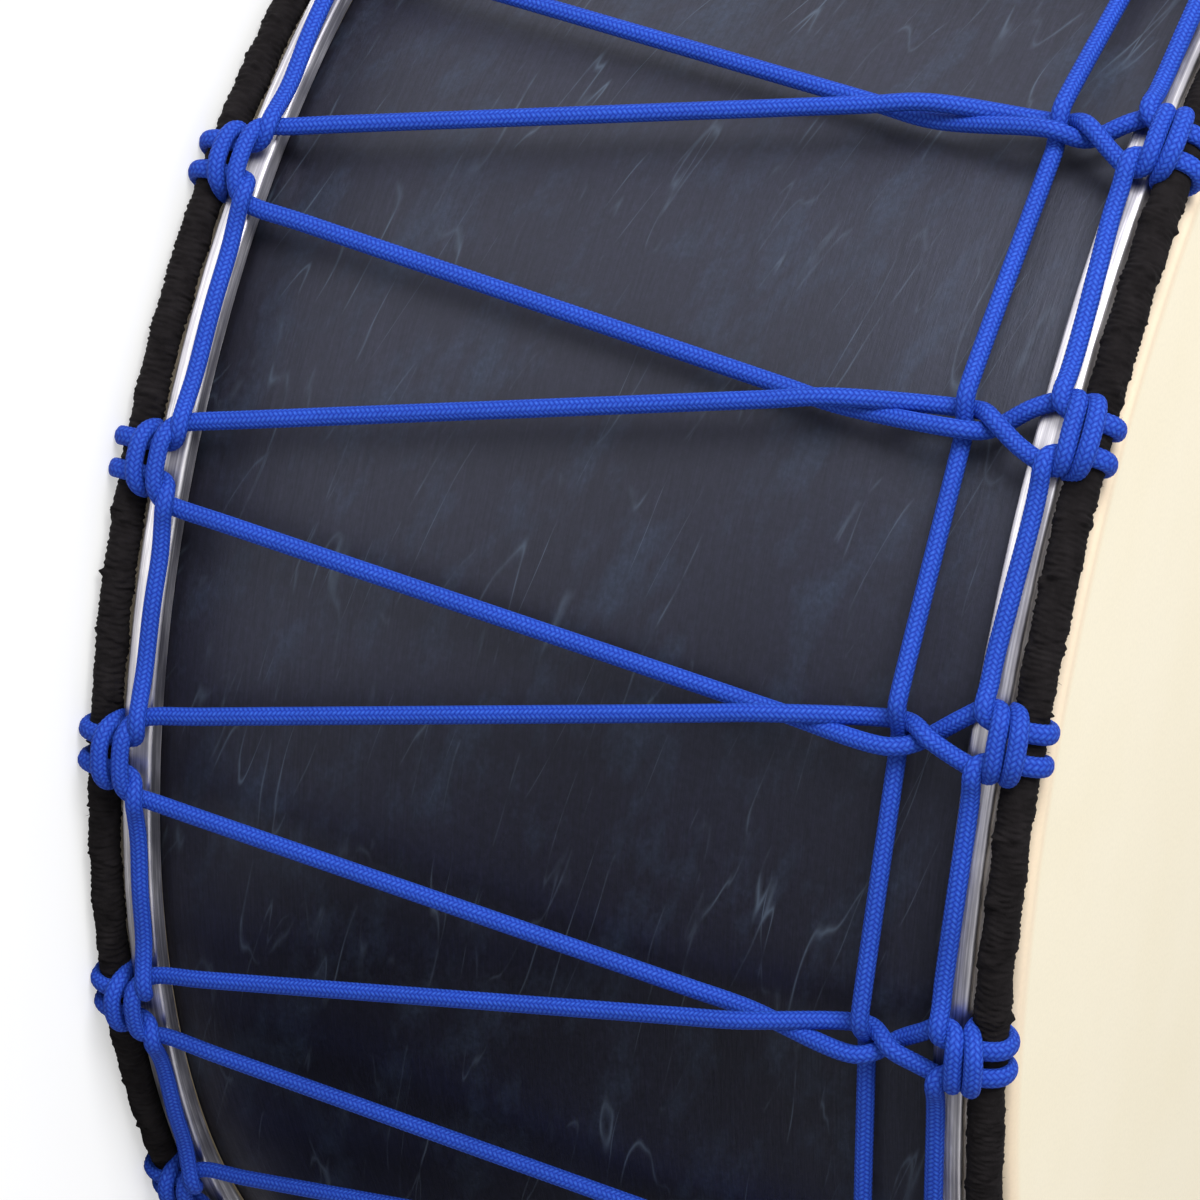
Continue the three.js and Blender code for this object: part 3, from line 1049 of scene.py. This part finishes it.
CAMERA_FROM_MIDDLE = Vector((-0.1763, -1.3410, 0.4599))
CAMERA_RIGHT = Vector((-0.1507, 0.4020, 0.9031))
CAMERA_FORWARD = Vector((0.1361, 0.9133, -0.3838))
CAMERA_LENS = 128.7
SENSOR_WIDTH = 36


def make_camera():
    data = bpy.data.cameras.new("camera")
    data.lens = CAMERA_LENS
    data.sensor_width = SENSOR_WIDTH
    camera = bpy.data.objects.new("camera", data)
    bpy.context.scene.collection.objects.link(camera)
    back = -CAMERA_FORWARD.normalized()
    right = (CAMERA_RIGHT - back * CAMERA_RIGHT.dot(back)).normalized()
    turn = Matrix((right, back.cross(right), back)).transposed()
    middle = Vector((0, 0, (UPPER.middle + LOWER.middle) / 2 * MM))
    camera.matrix_world = Matrix.Translation(middle + CAMERA_FROM_MIDDLE) @ turn.to_4x4()
    bpy.context.scene.camera = camera


# Floor and light, in metres

WHITE = (1, 1, 1, 1)
FLOOR_GREY = (0.6, 0.6, 0.6, 1)
FLOOR_HALF = 12
FLOOR_GAP = 0.0002
FLOOR_GLOW = 0.5
PAINTED_REFLECTION_STRENGTH = 1.95

# Where the floor's painted reflection starts and ends its fade, and the share of its glow beyond the
# end
SIDE_FADE = (-0.04, 0.19, 0.0)
FRONT_FADE = (-0.75, -1.7, 0.22)


def floor_material():
    """Pale to the camera. In reflections it glows instead, a painted reflection of a lit floor that
    fades away from the lamp and from the drum.
    """
    shader = Shader("pale_floor")
    path = shader.add("LightPath").outputs
    place = shader.parts(shader.add("NewGeometry").outputs["Position"])

    def fade(coordinate, start, end, end_share):
        faded = shader.math("DIVIDE", shader.math("SUBTRACT", place[coordinate], start), end - start)
        return shader.ramp(faded, (0.0, 1.0), (1.0, end_share))

    # Painted reflection: a glow seen only in reflections, brighter toward the lamp's side and near the
    # drum
    lit = shader.math("MULTIPLY", fade("X", *SIDE_FADE), fade("Y", *FRONT_FADE))
    painted_reflection_glow = shader.add("Emission", {
        "Color": WHITE,
        "Strength": shader.math("MULTIPLY", lit, PAINTED_REFLECTION_STRENGTH),
    })
    shader.finish(
        Base_Color=FLOOR_GREY,
        Roughness=1.0,
        Specular_IOR_Level=0.0,
        Emission_Color=WHITE,
        Emission_Strength=shader.math("MULTIPLY", path["Is Camera Ray"], FLOOR_GLOW),
    )
    either = shader.add("MixShader", {
        0: path["Is Glossy Ray"],
        1: shader.surface.outputs[0],
        2: painted_reflection_glow.outputs[0],
    })
    output = shader.tree.nodes["Material Output"]
    shader.join(either.outputs[0], output.inputs["Surface"])
    return shader.material


def make_floor():
    mesh = bpy.data.meshes.new("floor")
    sides = [(-1, -1), (1, -1), (1, 1), (-1, 1)]
    corners = [(FLOOR_HALF * side_x, FLOOR_HALF * side_y, -FLOOR_GAP) for side_x, side_y in sides]
    mesh.from_pydata(corners, [], [range(len(corners))])
    mesh.materials.append(floor_material())
    floor = bpy.data.objects.new("floor", mesh)
    bpy.context.scene.collection.objects.link(floor)


WORLD_STRENGTH = 0.6


def make_world():
    """White, and dimmer as a light than as a backdrop or a mirror image."""
    world = bpy.data.worlds.new("world")
    bpy.context.scene.world = world
    world.use_nodes = True
    nodes = world.node_tree.nodes
    links = world.node_tree.links
    path = nodes.new("ShaderNodeLightPath")
    seen = nodes.new("ShaderNodeMath")
    seen.operation = "MAXIMUM"
    links.new(path.outputs["Is Camera Ray"], seen.inputs[0])
    links.new(path.outputs["Is Glossy Ray"], seen.inputs[1])
    strength = nodes.new("ShaderNodeMapRange")
    strength.inputs["To Min"].default_value = WORLD_STRENGTH
    strength.inputs["To Max"].default_value = 1.0
    links.new(seen.outputs[0], strength.inputs["Value"])
    background = nodes["Background"]
    background.inputs["Color"].default_value = WHITE
    links.new(strength.outputs["Result"], background.inputs["Strength"])


KEY_DIRECTION = Vector((-0.72, -0.62, 0.42))
KEY_DISTANCE = 2.6
KEY_SIZE = 1.5
KEY_POWER = 76


def make_key_light():
    data = bpy.data.lights.new("key", "AREA")
    data.shape = "DISK"
    data.size = KEY_SIZE
    data.energy = KEY_POWER
    light = bpy.data.objects.new("key", data)
    bpy.context.scene.collection.objects.link(light)
    target = Vector((0, -SHELL_RADIUS * MM, UPPER.middle * MM / 2))
    light.location = target + KEY_DIRECTION.normalized() * KEY_DISTANCE
    light.rotation_euler = KEY_DIRECTION.to_track_quat("Z", "Y").to_euler()


make_camera()
make_floor()
make_world()
make_key_light()
bpy.context.scene.view_settings.view_transform = "Standard"
